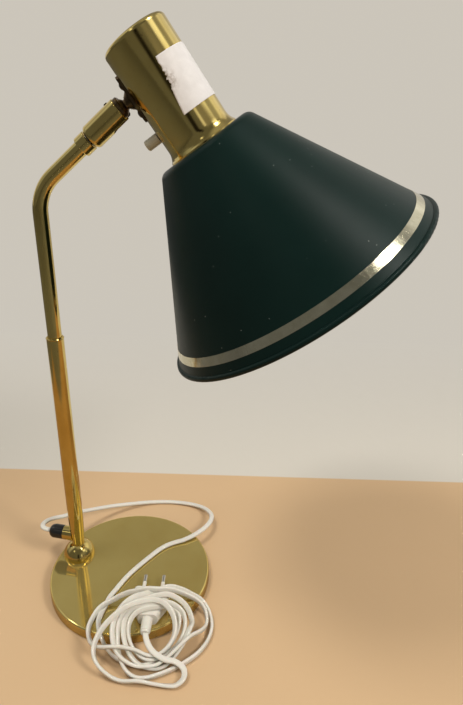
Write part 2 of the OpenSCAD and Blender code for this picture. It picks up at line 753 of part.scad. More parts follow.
module housing() {
  straight_z = -housing_down + flange_lip + flare_h;
  spread = flange_r - housing_r;
  color(brass) at_head() difference() {
    rotate_extrude($fn = 128) polygon(concat(
      [[0, housing_up]],
      arc(housing_r - housing_round, housing_up - housing_round, housing_round, 90, 0, 6),
      [for (i = [0:8]) let (t = i / 8) [housing_r + spread * pow(t, 2.4), straight_z - flare_h * t]],
      [[flange_r, -housing_down], [flange_r - flange_lip, -housing_down]],
      [for (i = [8:-1:0]) let (t = i / 8)
        [housing_bore_r + (spread - 0.3) * pow(t, 2.4), straight_z - flare_h * t]],
      arc(housing_r - housing_round, housing_up - housing_round, housing_round - housing_wall, 0, 90, 4),
      [[0, housing_up - housing_wall]]));
    stud_way() cylinder(h = housing_d, r = stud_r + 2 * ease);
    screw_ways() cylinder(h = housing_d, r = screw_r + fit);
    switch_at() cylinder(h = housing_d, r = switch_shaft_r + 1.6);
  }
}
module switch_at() { translate([0, 0, -switch_drop]) rotate([0, -90, 0]) children(); }
module holder_bridge() {
  color(steel) at_head() difference() {
    intersection() {
      translate([-housing_r, -bridge_w / 2, bridge_z]) cube([housing_d, bridge_w, bridge_h]);
      cylinder_from(bridge_z - 1, bridge_z + bridge_h + 1, housing_bore_r - fit);
    }
    cylinder_from(bridge_z - 1, bridge_z + bridge_h + 1, nipple_r + fit);
    translate([-housing_bore_r - 1, -3, bridge_z - 1]) cube([5.5, 6, bridge_h + 2]);
  }
}
module bridge_nut() {
  color(steel) at_head() difference() {
    union() {
      cylinder_from(bridge_z + bridge_h, bridge_z + bridge_h + 3, 8, $fn = 6);
      cylinder_from(bridge_z - 3, bridge_z, 8, $fn = 6);
    }
    cylinder_from(bridge_z - 4, bridge_z + bridge_h + 4, nipple_r + fit);
  }
}
module holder_nipple() {
  color(steel) at_head() pipe(nipple_r, nipple_hole_r, cap_top - 3, bridge_z + bridge_h + 4);
}
module holder_cap() {
  color(black) at_head() difference() {
    rotate_extrude() polygon(concat([[0, holder_top], [holder_r, holder_top]],
      arc(holder_r - 3.5, cap_top - 3.5, 3.5, 0, 90, 5), [[0, cap_top]]));
    cylinder_from(cap_top - 3, cap_top + 1, nipple_r + fit);
    cylinder_from(holder_top - 1, cap_top, nipple_hole_r);
  }
}
module lampholder() {
  color(black) at_head() difference() {
    union() {
      cylinder_from(holder_bottom, holder_top, holder_r);
      cylinder_from(shade_top_z, shade_top_z + holder_shoulder_h, holder_shoulder_r);
    }
    cylinder_from(holder_bottom - 1, contact_z, holder_bore_r);
    cylinder_from(contact_z - 1, holder_top + 1, nipple_hole_r);
  }
}
module holder_shell() {
  shell_r = holder_bore_r - fit;
  color(brass) at_head() pipe(shell_r, shell_r - shell_t, holder_bottom + 4, contact_z - 1);
}
module holder_contact() {
  color(brass) at_head() difference() {
    union() {
      cylinder_from(contact_z - 1.2, contact_z, 7);
      cylinder_from(contact_z - 1.9, contact_z - 1, 3);
      cylinder_from(contact_z - 0.5, holder_top - 0.5, nipple_hole_r - 0.4);
    }
    translate([0, 0, holder_top - 2.5]) cylinder(h = 3, r = 1.2);
  }
}
module shade_ring() {
  from = shade_top_z - shade_wall - ring_h;
  color(black) at_head() difference() {
    union() {
      cylinder_from(from + ring_h - 2, from + ring_h, ring_r);
      cylinder_from(from, from + ring_h, holder_r + 2.5);
    }
    cylinder_from(from - 1, from + ring_h + 1, holder_r + fit);
  }
}
module head_wires() {
  color(ivory) at_head() for (side = [-1, 1]) {
    swept(smooth_path([
      [-stud_reach + stud_end + 0.4, side * 0.7, 0], [-15.5, side * 0.9, 0.5], [-11, side * 2, 3],
      [-6, side * 2.4, 5], [-2, side * 1.9, 2], [0, side * 1.5, -5], [0, side * 1.5, -20],
      [0, side * 1.5, holder_top + 0.8]], 2), 1.3, 1.3, [0, 1, 0]);
  }
}

// ---- Shade ----
module shade() {
  color(green) at_head() union() {
    rotate_extrude($fn = 180) polygon(concat(
      [[shade_hole_r, shade_top_z]],
      arc(shade_top_r, shade_top_z - shoulder_r, shoulder_r, 90, shade_angle, 8),
      [[rim_r, rim_z], [rim_r - shade_wall * cone_down, rim_z - shade_wall * cone_in]],
      arc(shade_top_r, shade_top_z - shoulder_r, shoulder_r - shade_wall, shade_angle, 90, 6),
      [[shade_hole_r, shade_top_z - shade_wall]]));
    rotate_extrude($fn = 180) translate([rim_r - shade_wall / 2, rim_z]) circle(r = bead_r);
  }
}
module shade_stripe() {
  lower = shade_slant - bead_r - stripe_inset;
  upper = lower - stripe_w;
  function on_side(d, out) =
    [cone_r + d * cone_in + out * cone_down, cone_z - d * cone_down + out * cone_in];
  color("#c9b57a") at_head() rotate_extrude($fn = 180) polygon([
    on_side(upper, stripe_gap), on_side(upper, stripe_gap + stripe_t),
    on_side(lower, stripe_gap + stripe_t), on_side(lower, stripe_gap)]);
}

// ---- Bulb ----
module bulb_cap() {
  color("#b9b9b4") at_head() difference() {
    union() {
      cylinder_from(bulb_cap_top - bulb_cap_len, bulb_cap_top - 3, bulb_cap_r);
      translate([0, 0, bulb_cap_top - 3]) cylinder(h = 3, r1 = bulb_cap_r - 2, r2 = 5);
    }
    cylinder_from(bulb_cap_top - bulb_cap_len - 1, bulb_cap_top - 5, bulb_cap_r - 0.6);
  }
}
module bulb_glass() {
  top = bulb_cap_top - bulb_cap_len;
  wall = 0.9;
  throat = bulb_cap_r - 0.9;
  ball_mid = top - bulb_l + bulb_r;
  flare = bulb_l - bulb_r;
  function side(i, in) = let (t = i / 10)
    [throat + (bulb_r - throat) * ease_in(t) - in, top - flare * t];
  color("#f2efe6") at_head() rotate_extrude($fn = 96) polygon(concat(
    [[throat - wall, top + 4], [throat, top + 4]],
    [for (i = [0:9]) side(i, 0)],
    arc(0, ball_mid, bulb_r, 0, -90, 12),
    arc(0, ball_mid, bulb_r - wall, -90, 0, 12),
    [for (i = [9:-1:0]) side(i, wall)]));
}

// ---- Switch ----
module switch_body() {
  color(black) at_head() switch_at() difference() {
    union() {
      cylinder_from(housing_bore_r - switch_depth, housing_bore_r - 1.6, switch_r);
      cylinder_from(housing_bore_r - 2, housing_r - 0.1, switch_shaft_r + 1.5);
    }
    cylinder_from(housing_bore_r - switch_depth + 2, housing_d, switch_hole_r);
  }
}
module switch_knob() {
  color(ivory) at_head() switch_at() union() {
    cylinder_from(housing_bore_r - switch_depth + 2.3, housing_r + 1, switch_shaft_r);
    rotate_extrude() polygon(concat(
      [[0, housing_r + gap], [knob_r, housing_r + gap]],
      arc(knob_r - 1.4, housing_r + knob_len - 1.4, 1.4, 0, 90, 5),
      [[0, housing_r + knob_len]]));
  }
}

foot_cover();
ballast();
foot_pad();
dome_fitting();
foot_bolt();
bolt_washer();
outlet_tube();
outlet_collar();
cord_bush();
foot_flex();
cord_lead();
cord_coil();
cord_tail();
plug_body();
plug_pins();
pin_sleeves();
stem_tube();
stem_lip();
stem_plug();
stem_liner();
arm_tube();
tube_guide();
arm_collar();
arm_spindle();
spindle_clip();
arm_flex();
socket_sleeve();
mouth_ring();
ball_cup();
cup_springs();
sleeve_screw();
swivel_ball();
ribbed_nut();
stud_nut();
bracket_plate();
bracket_screws();
housing();
holder_bridge();
bridge_nut();
holder_nipple();
holder_cap();
lampholder();
holder_shell();
holder_contact();
shade_ring();
head_wires();
shade();
shade_stripe();
bulb_cap();
bulb_glass();
switch_body();
switch_knob();
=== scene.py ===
"""Looks of an adjustable brass desk lamp: a round foot, a bent sliding stem, a ball knuckle and a
conical green shade, with its flat white lead wound up on the foot. Everything is in metres, in the
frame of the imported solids: +Z up, the middle of the foot at the origin, the arm along +X at rest.
"""
import json
import math

import bmesh
import bpy
from mathutils import Matrix, Vector, noise


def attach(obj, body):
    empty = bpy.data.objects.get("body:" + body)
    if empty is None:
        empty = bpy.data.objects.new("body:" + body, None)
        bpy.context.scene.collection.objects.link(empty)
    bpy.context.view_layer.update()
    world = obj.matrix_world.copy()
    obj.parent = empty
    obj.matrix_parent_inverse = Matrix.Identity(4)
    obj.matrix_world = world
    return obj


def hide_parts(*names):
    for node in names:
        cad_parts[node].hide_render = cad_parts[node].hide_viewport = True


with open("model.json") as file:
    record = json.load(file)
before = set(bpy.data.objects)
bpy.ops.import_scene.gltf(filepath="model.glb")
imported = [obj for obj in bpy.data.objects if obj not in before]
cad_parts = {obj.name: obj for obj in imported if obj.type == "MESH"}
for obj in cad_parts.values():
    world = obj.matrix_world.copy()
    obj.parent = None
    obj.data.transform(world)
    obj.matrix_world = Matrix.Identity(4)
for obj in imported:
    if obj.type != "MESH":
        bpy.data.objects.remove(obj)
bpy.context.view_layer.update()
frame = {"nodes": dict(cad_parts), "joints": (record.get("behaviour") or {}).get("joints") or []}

MM = 0.001
NODES = frame["nodes"]
JOINTS = {joint["name"]: joint for joint in frame["joints"]}
UP = Vector((0, 0, 1))

# The head's own frame, worked out from the joints: the knuckle's ball, the stud that the head turns
# on, and the housing's axis, square to the stud and in the same upright plane
KNUCKLE = Vector(JOINTS["head_tilt"]["pos_m"])
STUD = Vector(JOINTS["head_turn"]["axis"]).normalized()
ARM_WAY = Vector(JOINTS["sleeve_turn"]["axis"]).normalized()
STUD_REACH = 39.8 * MM
SIDEWAYS = Vector((0, 1, 0))
HEAD_UP = STUD.cross(SIDEWAYS)
HEAD_MID = KNUCKLE + STUD * STUD_REACH
HOUSING_R = 26.75 * MM


def head_frame():
    """Turns places on the head, +X away from the knuckle and +Z up the housing, into the
    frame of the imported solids."""
    turn = Matrix((STUD, SIDEWAYS, HEAD_UP)).transposed()
    return Matrix.Translation(HEAD_MID) @ turn.to_4x4()


# ---------------------------------------------------------------- camera

CAMERA_PLACE = (0.1003, -0.4358, 0.4598)
CAMERA_PITCH = math.radians(24.43)
CAMERA_ROLL = math.radians(1.73)


def add_camera():
    """The viewing angle: from the front and right, a little above the knuckle, looking down."""
    pitch, roll = CAMERA_PITCH, CAMERA_ROLL
    ahead = Vector((0, math.cos(pitch), -math.sin(pitch)))
    level_up = Vector((0, math.sin(pitch), math.cos(pitch)))
    right = Vector((math.cos(roll), 0, 0)) + level_up * math.sin(roll)
    over = level_up * math.cos(roll) - Vector((math.sin(roll), 0, 0))
    lens = bpy.data.cameras.new("camera")
    lens.lens = 27.83
    lens.sensor_width = 36
    lens.shift_y = 0.0072
    lens.clip_start = 0.02
    camera = bpy.data.objects.new("camera", lens)
    bpy.context.scene.collection.objects.link(camera)
    turn = Matrix((right, over, -ahead)).transposed().to_4x4()
    camera.matrix_world = Matrix.Translation(CAMERA_PLACE) @ turn
    bpy.context.scene.camera = camera


add_camera()


# ---------------------------------------------------------------- the mains lead

LEAD_W = 5.4 * MM
LEAD_T = 3.2 * MM
LEAD_STEP = 2.2 * MM
KNOT_STEPS = 8
# Points at the lead's end that stay flat, and those over which it tips on edge
FLAT_END = 22
TIP_OVER = 20
FOOT_R = 83 * MM
FOOT_H = 12 * MM
PLUG_TOP = FOOT_H + 13.7 * MM
PLUG_MID = Vector((28.2, -52.5)) * MM
PLUG_HALF = Vector((19, 19)) * MM

# The lead's route, millimetres: out of the bush, down to the desk behind the foot, round and up
# over the foot's rear edge, across the foot, and into the coil
LEAD_ROUTE = [
    (-91, 24.5, 38.5), (-94.9, 25.2, 38.5), (-99.6, 27.6, 38.3), (-102, 33, 37.7),
    (-100.5, 39.5, 36.8), (-95, 45.5, 35.7), (-86, 52, 33.5), (-77, 62, 29.6), (-67, 73, 24.3),
    (-56, 84.5, 18.4), (-41, 97, 12.4), (-23, 108, 7), (-4, 116.5, 3.2), (15, 120.5, 1.9),
    (34.4, 120.6, 1.9), (54, 116.8, 2.8), (69.8, 108.3, 5.2), (78.8, 96.8, 8.2), (82.1, 85.3, 11),
    (80.5, 72.8, 13.4), (74.3, 60, 15.1), (64.5, 49, 15.3), (52.7, 41.3, 14.2), (42.9, 37.2, 13.8),
    (34.2, 32.3, 13.7), (27, 25.8, 13.7), (20, 17.3, 13.7), (9, 2.6, 13.7), (-1, -12.7, 13.7),
    (-9.3, -30, 13.7), (-15, -46.7, 13.9),
]
# Then it is wound up by hand, seen from above: five loose turns, each on top of the ones before,
# which ends in a tight bend in front of the plug
COIL_ROUTE = [
    (-18.5, -64.4), (-17, -75), (-13.1, -84.1), (-8.1, -90.8), (-1.1, -96.3), (8.6, -101.1),
    (19, -104.2), (28.9, -104.7), (37.6, -101.6), (45.8, -95.4), (52.7, -87.3), (57.6, -78.3),
    (58.6, -69.6), (55.2, -64.2), (47.1, -62.5), (35.8, -63.2), (25.1, -65.9), (17.4, -70.4),
    (13.2, -76.6), (12.8, -83.6), (15.2, -90.6), (19.8, -96.4), (26.5, -100.5), (34.4, -102),
    (43.8, -100.3), (52.6, -94.6), (59.9, -87), (63.8, -78.8), (63.9, -70.5), (60, -64.3),
    (51.2, -61.1), (38.4, -60.9), (25.6, -62.7), (15.5, -67.1), (9.5, -73.3), (8.1, -82),
    (9.8, -90.2), (13.7, -97.6), (19.6, -103.7), (27.5, -107.3), (36.1, -108), (46.2, -105.5),
    (55.8, -99), (63.8, -89.6), (68.8, -78.4), (70.2, -66.6), (66.9, -56.6), (59.1, -49.8),
    (47.1, -47.6), (34.1, -50.2), (22.5, -56.7), (12.4, -65), (5.7, -74), (3.8, -82.9),
    (4.7, -91.8), (7.1, -100.9), (10.8, -108.7), (16.5, -114.3), (24.6, -116.9), (33.7, -116.6),
    (43.5, -113.4), (54.8, -107.9), (67.3, -100.1), (78.5, -89.8), (86.1, -77), (89.1, -62.7),
    (86, -49.8), (77.1, -40.4), (63.8, -36), (50, -37.2), (37, -42.4), (25.4, -49.7), (15.4, -58.5),
    (6.8, -67.7), (1, -75.8), (-0.9, -84.4), (0.2, -92.8), (3.5, -100.9), (9.5, -107.1),
    (18.1, -110.1), (27.7, -110.4), (37.8, -108.2), (47.9, -103.1), (58.4, -96), (69, -87.6),
    (78.1, -76.6), (83.4, -64.2), (83.4, -54.4), (78.5, -46.6), (69.3, -42), (56.6, -41.6),
    (42, -44.1), (27.9, -46.4), (15, -46.2), (3.2, -45.1), (-7, -46.5), (-15.2, -51.1),
    (-21.8, -59.3), (-25.3, -69.4), (-25.7, -79.1), (-22.7, -87.5), (-16.4, -94.7), (-7.5, -100.5),
    (2.4, -102.7), (12, -100.8), (21.4, -99.1), (30.3, -99.8), (38.5, -99.7), (46.1, -97.3),
    (52, -92.5), (55.3, -86.3), (55.6, -79.1), (53, -71.9), (47.7, -66.3), (39.7, -61.9),
    (29.8, -60.7), (20.1, -63.8), (11.3, -70.1), (2.9, -76.6), (-4.4, -82.5), (-10.1, -88.4),
    (-13.8, -94.9), (-15.1, -101.5), (-13.4, -107.8), (-8.6, -113.2), (-1.5, -116.9), (7.5, -119.3),
    (17.6, -120.9), (26.8, -121.4),
]
# The tight bend and the way up into the plug's neck
TAIL_ROUTE = [
    (37, -121.6, 1.7), (46, -122.5, 1.7), (53.5, -123, 1.8), (60.8, -122.2, 2.2),
    (66.8, -116.6, 4.2), (66, -109.4, 6.4), (59, -105.2, 8), (50.5, -105.4, 9),
    (44.5, -103.2, 10.2), (38.8, -99.9, 12.2), (34, -95.6, 14.6), (30.7, -90.8, 16.8),
    (28.9, -85.6, 18.4), (28.2, -80, 18.9),
]


def bend_point(a, b, c, d, t):
    """A point on the smooth curve through b and c, a share t of the way."""
    return (2 * b + (c - a) * t + (2 * a - 5 * b + 4 * c - d) * t * t
            + (3 * b - a - 3 * c + d) * t * t * t) / 2


def smooth_path(points, steps):
    """The smooth curve through a list of vectors or numbers."""
    last = len(points) - 1
    path = []
    for i in range(last):
        a, d = points[max(i - 1, 0)], points[min(i + 2, last)]
        path += [bend_point(a, points[i], points[i + 1], d, k / steps) for k in range(steps)]
    return path + [points[last]]


def even_path(path, step):
    """The same line with its points one step apart."""
    even = [path[0]]
    gone = 0.0
    for a, b in zip(path, path[1:]):
        length = (b - a).length
        while gone + length >= step and length > 0:
            share = (step - gone) / length
            a = a.lerp(b, share)
            even.append(a)
            length = (b - a).length
            gone = 0.0
        gone += length
    return even + [path[-1]]


def lead_outline():
    """Knots of the whole lead, the coil's without a height, and how many its first stretch has."""
    coil = [Vector((x, y, 0)) * MM for x, y in COIL_ROUTE]
    lead = [Vector(p) * MM for p in LEAD_ROUTE]
    tail = [Vector(p) * MM for p in TAIL_ROUTE]
    return lead + coil + tail, len(lead)


def floor_under(x, y):
    """Height of the desk, the foot or the plug at one place."""
    if abs(x - PLUG_MID.x) < PLUG_HALF.x and abs(y - PLUG_MID.y) < PLUG_HALF.y:
        return PLUG_TOP
    return FOOT_H if math.hypot(x, y) < FOOT_R + LEAD_T else 0.0


def lead_tilts(count, fixed):
    """How far the lead is tipped on edge, in radians: flat along its first stretch and its end, and
    more or less on edge where it is wound."""
    tilts = []
    for i in range(count):
        after = min(max((i - fixed) / TIP_OVER, 0), 1)
        before = min(max((count - i - FLAT_END) / TIP_OVER, 0), 1)
        into = after * before
        turn = into * (0.95 + 1.3 * noise.noise(Vector((i * 0.011, 3.7, 0))))
        tilts.append(turn + 0.25 * noise.noise(Vector((i * 0.02, 8.1, 0))))
    return tilts


# How a lead lies on itself: passes, how steeply it climbs, how close two stretches must come for
# one to lie on the other, and how many points of it count as the same stretch
SETTLE_PASSES = 8
STEEPEST = 0.55
LYING_ON = LEAD_W * 0.93
SAME_STRETCH = 9


def settle(path, fixed, end, tilts):
    """Heights for a lead laid down in order: each stretch lies on whatever is under it already."""
    below = [LEAD_T * 0.52 + (LEAD_W - LEAD_T) / 2 * abs(math.sin(tilt)) for tilt in tilts]
    rest = [max(p.z, floor_under(p.x, p.y) + low) for p, low in zip(path, below)]
    rest[:fixed] = [p.z for p in path[:fixed]]
    for i in range(len(path) - end, len(path)):
        rest[i] = path[i].z
    heights = rest[:]
    steepest = STEEPEST * (path[1] - path[0]).length
    for _ in range(SETTLE_PASSES):
        under = heights[:]
        for i in range(fixed, len(path) - 1):
            low = rest[i]
            x, y = path[i].x, path[i].y
            for j in range(i - SAME_STRETCH):
                dx, dy = x - path[j].x, y - path[j].y
                share = (dx * dx + dy * dy) / (LYING_ON * LYING_ON)
                if share < 1:
                    low = max(low, under[j] + LEAD_T * (1 - share) ** 0.25)
            heights[i] = low
        for i in range(fixed, len(path)):
            heights[i] = max(heights[i], heights[i - 1] - steepest)
        for i in range(len(path) - 2, fixed, -1):
            heights[i] = max(heights[i], heights[i + 1] - steepest)
    smooth = heights[:]
    for i in range(fixed, len(path) - 2):
        smooth[i] = sum(heights[i - 2:i + 3]) / 5
    return [Vector((p.x, p.y, z)) for p, z in zip(path, smooth)]


def lead_facing(path, tilts):
    """Which way the lead's flat side faces at each point of its path."""
    def way_up(i):
        way = (path[min(i + 1, len(path) - 1)] - path[max(i - 1, 0)]).normalized()
        side = UP.cross(way).normalized()
        top = way.cross(side)
        return top * math.cos(tilts[i]) + side * math.sin(tilts[i])

    return way_up


def flat_twin_section():
    """Outline of the flat lead: two round cores side by side, webbed between."""
    core = LEAD_T / 2
    offset = LEAD_W / 2 - core
    right = [(offset + core * math.cos(a), core * math.sin(a))
             for a in (math.radians(-75 + 25 * k) for k in range(7))]
    left = [(-x, -y) for x, y in right]
    return right + [(0.0, core * 0.76)] + left + [(0.0, -core * 0.76)]


def tube_mesh(name, path, section, way_up):
    """A closed tube along a path, with its section's second direction kept towards way_up."""
    mesh = bpy.data.meshes.new(name)
    shape = bmesh.new()
    rings = []
    for i, point in enumerate(path):
        way = (path[min(i + 1, len(path) - 1)] - path[max(i - 1, 0)]).normalized()
        side = way_up(i).cross(way).normalized()
        top = way.cross(side).normalized()
        rings.append([shape.verts.new(point + side * x + top * y) for x, y in section])
    count = len(section)
    for a, b in zip(rings, rings[1:]):
        for k in range(count):
            shape.faces.new((a[k], b[k], b[(k + 1) % count], a[(k + 1) % count]))
    shape.faces.new(rings[0])
    shape.faces.new(rings[-1][::-1])
    bmesh.ops.recalc_face_normals(shape, faces=shape.faces[:])
    shape.to_mesh(mesh)
    shape.free()
    mesh.polygons.foreach_set("use_smooth", [True] * len(mesh.polygons))
    tube = bpy.data.objects.new(name, mesh)
    bpy.context.scene.collection.objects.link(tube)
    return tube


def add_mains_lead():
    """The whole lead as one piece, from the bush to the plug."""
    knots, lead_count = lead_outline()
    line = smooth_path(knots, KNOT_STEPS)
    first = line[:KNOT_STEPS * (lead_count - 1)]
    fixed = int(sum((b - a).length for a, b in zip(first, line[1:])) / LEAD_STEP)
    path = even_path(line, LEAD_STEP)
    tilts = lead_tilts(len(path), fixed)
    path = settle(path, fixed, 4, tilts)

    lead = tube_mesh("mains_lead", path, flat_twin_section(), lead_facing(path, tilts))
    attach(lead, "base")
    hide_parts("cord_lead", "cord_coil", "cord_tail")
    return lead


MAINS_LEAD = add_mains_lead()


# ---------------------------------------------------------------- label

LABEL_LOW = -32 * MM
LABEL_HIGH = 9 * MM
LABEL_FROM = math.radians(-88)
LABEL_TO = math.radians(24)
LABEL_LEAN = math.radians(12)
LABEL_T = 0.12 * MM
LABEL_GAP = 0.08 * MM
LABEL_CURL = 0.3 * MM
LABEL_ROWS = 120
LABEL_COLUMNS = 40
SCUFF_ANGLE = math.radians(-84)
SCUFF_HEIGHT = -7 * MM
SCUFF_INNER = 3 * MM
SCUFF_OUTER = 11 * MM


def on_housing(angle, height, out):
    """A place on the housing's side: its angle from the side away from the knuckle, its height up
    the axis, and how far it stands out."""
    reach = HOUSING_R + out
    return head_frame() @ Vector((reach * math.cos(angle), reach * math.sin(angle), height))


def sheet_mesh(name, rows):
    """A sheet from rows of places, one face between each four neighbours."""
    mesh = bpy.data.meshes.new(name)
    width = len(rows[0])
    faces = [(i * width + j, i * width + j + 1, (i + 1) * width + j + 1, (i + 1) * width + j)
             for i in range(len(rows) - 1) for j in range(width - 1)]
    mesh.from_pydata([place for row in rows for place in row], [], faces)
    sheet = bpy.data.objects.new(name, mesh)
    bpy.context.scene.collection.objects.link(sheet)
    return sheet


def apply_modifier(piece, kind, **settings):
    """Adds a modifier to a piece and applies it."""
    bpy.ops.object.select_all(action="DESELECT")
    bpy.context.view_layer.objects.active = piece
    piece.select_set(True)
    modifier = piece.modifiers.new(kind.lower(), kind)
    for name, value in settings.items():
        setattr(modifier, name, value)
    bpy.ops.object.modifier_apply(modifier=modifier.name)


def torn_edge(height):
    """How far the torn side of the paper runs in from its straight line, in radians."""
    rough = (noise.noise(Vector((height * 240, 1.0, 0))) + 0.8 * noise.noise(
        Vector((height * 700, 1.0, 3))) + 0.5 * noise.noise(Vector((height * 1700, 4.0, 3))))
    share = (height - LABEL_LOW) / (LABEL_HIGH - LABEL_LOW)
    torn = math.exp(-((share - 0.62) / 0.2) ** 2)
    return (torn * (1.0 + 1.5 * rough) + 0.12 * rough) * MM / HOUSING_R


def add_label():
    """A blank paper label round the housing, torn and curled along its side next to the knuckle."""
    lean = LABEL_LEAN / (LABEL_HIGH - LABEL_LOW)
    rows = []
    for i in range(LABEL_ROWS + 1):
        height = LABEL_LOW + (LABEL_HIGH - LABEL_LOW) * i / LABEL_ROWS
        start = LABEL_FROM + lean * (height - LABEL_LOW) + torn_edge(height)
        row = []
        lift = LABEL_CURL * max(0, 0.5 + noise.noise(Vector((height * 420, 1.0, 9))))
        for j in range(LABEL_COLUMNS + 1):
            share = j / LABEL_COLUMNS
            row.append(on_housing(start + (LABEL_TO - start) * share, height,
                                  LABEL_GAP + lift * max(0, 1 - share * 16) ** 2))
        rows.append(row)
    paper = sheet_mesh("label", rows)
    apply_modifier(paper, "SOLIDIFY", thickness=LABEL_T, offset=1)
    for face in paper.data.polygons:
        face.use_smooth = True
    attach(paper, "head")
    return paper


LABEL = add_label()


# ---------------------------------------------------------------- finishes

# The Mix node's sockets for colours, by number, because several share a name
MIX_SHARE, MIX_A, MIX_B, MIX_RESULT = 0, 6, 7, 2


class NodeTree:
    """A tree of nodes being built, with the short calls that materials and the room share."""

    def __init__(self, owner):
        owner.use_nodes = True
        self.nodes = owner.node_tree.nodes
        self.links = owner.node_tree.links

    def give(self, value, socket):
        """Sets a socket to a number or a colour, or joins an output to it."""
        if isinstance(value, bpy.types.NodeSocket):
            self.links.new(value, socket)
        else:
            socket.default_value = (*value, 1) if isinstance(value, tuple) else value

    def math(self, kind, a, b=0.0):
        """One sum on two values, each a number or an output."""
        node = self.nodes.new("ShaderNodeMath")
        node.operation = kind
        self.give(a, node.inputs[0])
        self.give(b, node.inputs[1])
        return node.outputs["Value"]

    def blend(self, share, a, b, kind="MIX"):
        """Two colours mixed or added by a share, each a colour or an output."""
        node = self.nodes.new("ShaderNodeMix")
        node.data_type = "RGBA"
        node.blend_type = kind
        for number, value in ((MIX_SHARE, share), (MIX_A, a), (MIX_B, b)):
            self.give(value, node.inputs[number])
        return node.outputs[MIX_RESULT]


class Finish(NodeTree):
    """A material being built on one Principled shader, with a short call for each node."""

    def __init__(self, name, **sockets):
        self.material = bpy.data.materials.new(name)
        super().__init__(self.material)
        self.shader = self.nodes["Principled BSDF"]
        self.place = self.nodes.new("ShaderNodeTexCoord").outputs["Object"]
        for socket, value in sockets.items():
            self.shader.inputs[socket.replace("_", " ")].default_value = value

    def feed(self, output, socket):
        """Joins an output to one of the shader's sockets."""
        self.links.new(output, self.shader.inputs[socket])

    def mapped(self, scale, axis=None, middle=(0, 0, 0)):
        """Places measured from middle, with axis as their Z, each direction multiplied by scale."""
        node = self.nodes.new("ShaderNodeMapping")
        node.vector_type = "TEXTURE"
        self.links.new(self.place, node.inputs["Vector"])
        node.inputs["Location"].default_value = middle
        if axis is not None:
            node.inputs["Rotation"].default_value = axis.to_track_quat("Z", "Y").to_euler()
        node.inputs["Scale"].default_value = [1 / s for s in scale]
        return node.outputs["Vector"]

    def cloud(self, scale, detail=3.0, roughness=0.5, at=None):
        """Noise from 0 to 1, with so many lumps to a metre."""
        node = self.nodes.new("ShaderNodeTexNoise")
        node.inputs["Scale"].default_value = scale
        node.inputs["Detail"].default_value = detail
        node.inputs["Roughness"].default_value = roughness
        self.links.new(self.place if at is None else at, node.inputs["Vector"])
        return node.outputs["Fac"]

    def ranged(self, value, low, high, to_low=0.0, to_high=1.0):
        """value between low and high, spread from to_low to to_high."""
        node = self.nodes.new("ShaderNodeMapRange")
        self.links.new(value, node.inputs["Value"])
        ends = zip(("From Min", "From Max", "To Min", "To Max"), (low, high, to_low, to_high))
        for socket, number in ends:
            node.inputs[socket].default_value = number
        return node.outputs["Result"]

    def vector_math(self, kind, a, b=None):
        """One sum on two vectors, each a fixed one or an output."""
        node = self.nodes.new("ShaderNodeVectorMath")
        node.operation = kind
        for socket, value in zip(node.inputs, (a, b)):
            if isinstance(value, bpy.types.NodeSocket):
                self.links.new(value, socket)
            elif value is not None:
                socket.default_value = value
        return node.outputs["Value" if kind in ("DOT_PRODUCT", "LENGTH") else "Vector"]

    def dot(self, vector, direction):
        """How far a vector goes in a direction."""
        return self.vector_math("DOT_PRODUCT", vector, direction)

    def across(self, middle, axis):
        """The way straight out to a place from an axis through middle."""
        from_middle = self.vector_math("SUBTRACT", self.place, middle)
        along = self.vector_math("PROJECT", from_middle, axis)
        return self.vector_math("SUBTRACT", from_middle, along)

    def specks(self, scale, radius):
        """Sparse round specks of a radius in metres, one cell in 1 / scale metres."""
        node = self.nodes.new("ShaderNodeTexVoronoi")
        node.inputs["Scale"].default_value = scale
        self.links.new(self.place, node.inputs["Vector"])
        return self.math("LESS_THAN", node.outputs["Distance"], radius * scale)

    def bump(self, height, depth, strength=1.0):
        """Relief of a height from 0 to 1, depth metres deep."""
        node = self.nodes.new("ShaderNodeBump")
        node.inputs["Distance"].default_value = depth
        node.inputs["Strength"].default_value = strength
        self.links.new(height, node.inputs["Height"])
        normal = self.shader.inputs["Normal"]
        if normal.is_linked:
            self.links.new(normal.links[0].from_socket, node.inputs["Normal"])
        self.feed(node.outputs["Normal"], "Normal")


BRASS = (0.80, 0.63, 0.215)
BRASS_DEEP = (0.70, 0.52, 0.155)
TARNISH = (0.30, 0.19, 0.06)


def drawn_brass(name, axis):
    """Polished and lacquered brass tube: faint lines along it, smudges and tarnished specks."""
    finish = Finish(name, Metallic=1.0, Coat_Weight=0.35, Coat_Roughness=0.06, Coat_IOR=1.5)
    smudge = finish.cloud(38, 5, 0.62)
    lines = finish.cloud(1, 3, 0.6, finish.mapped((900, 900, 9), axis))
    speck = finish.ranged(finish.cloud(520, 1), 0.73, 0.77)
    tone = finish.blend(finish.ranged(smudge, 0.35, 0.7), BRASS, BRASS_DEEP)
    finish.feed(finish.blend(finish.math("MULTIPLY", speck, 0.55), tone, TARNISH), "Base Color")
    rough = finish.ranged(smudge, 0.3, 0.75, 0.07, 0.15)
    finish.feed(finish.math("ADD", rough, finish.ranged(lines, 0.3, 0.8, 0, 0.04)), "Roughness")
    finish.bump(lines, 0.004 * MM, 0.5)
    finish.bump(finish.cloud(60, 2), 0.05 * MM, 0.35)
    return finish.material


